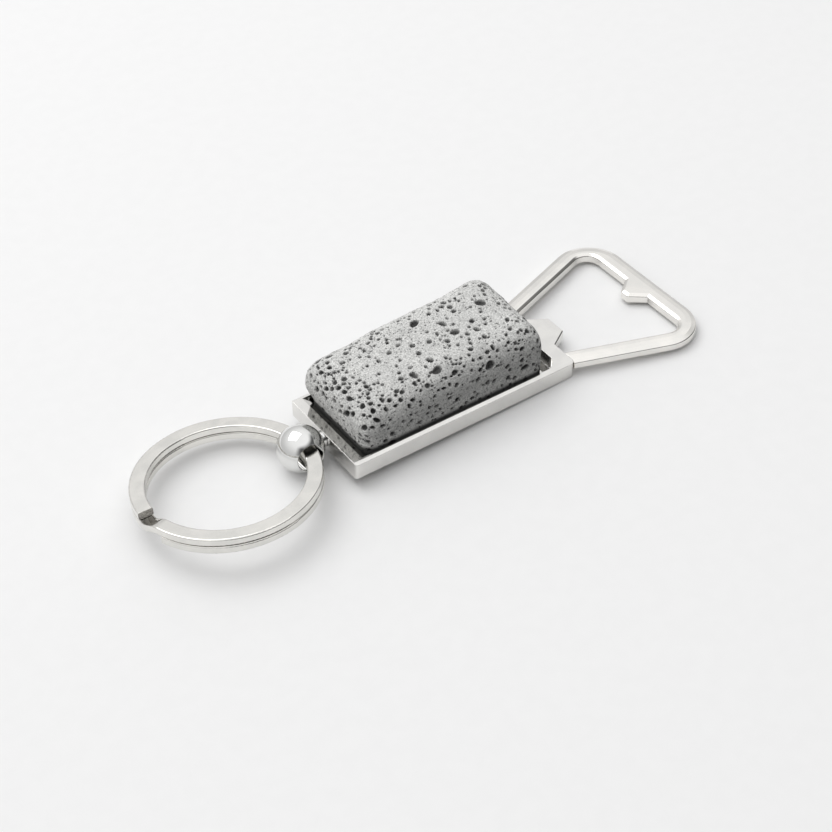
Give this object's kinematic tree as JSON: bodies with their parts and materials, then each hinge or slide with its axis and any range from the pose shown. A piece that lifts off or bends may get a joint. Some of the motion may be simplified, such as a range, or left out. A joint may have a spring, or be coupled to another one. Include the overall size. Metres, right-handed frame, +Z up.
{
  "type": "keychain bottle opener",
  "caption": "Flat metal keychain bottle opener: lava stone set in a shallow tray, trapezoid cap loop with a tooth and fulcrum tab, and a ball swivel with a split ring.",
  "frame": {"origin": "middle of the tray's flat underside", "axes": "+X along the tray from the key ring towards the opener loop, +Z up through the stone, +Y across the tray"},
  "size_m": [0.1, 0.031, 0.0154],
  "materials": {
    "cast_frame": "polished nickel-chrome plate",
    "opener_metal": "polished nickel-chrome plate",
    "lava": "rough, porous, honed",
    "epoxy": "cured epoxy",
    "ball_metal": "mirror plate",
    "rivet_steel": "plain drawn steel",
    "ring_steel": "nickel-plated spring steel"
  },
  "bodies": {
    "root": {"tray": "cast_frame", "opener_loop": "opener_metal", "lava_stone": "lava", "adhesive_bed": "epoxy"},
    "swivel": {"swivel_ball": "ball_metal", "neck_collar": "ball_metal", "swivel_rivet": "rivet_steel", "rivet_washer": "rivet_steel"},
    "key_ring": {"split_ring": "ring_steel"}
  },
  "joints": [
    {"name": "ball_swivel", "type": "hinge", "parent": "root", "child": "swivel", "pos_m": [-0.0256, 0, 0.00185], "axis": [1, 0, 0], "continuous": true},
    {"name": "ring_swing", "type": "hinge", "parent": "swivel", "child": "key_ring", "pos_m": [-0.0256, 0, 0.00185], "axis": [0, 0.9962, -0.0872], "range_deg": [-120, 120]}
  ]
}
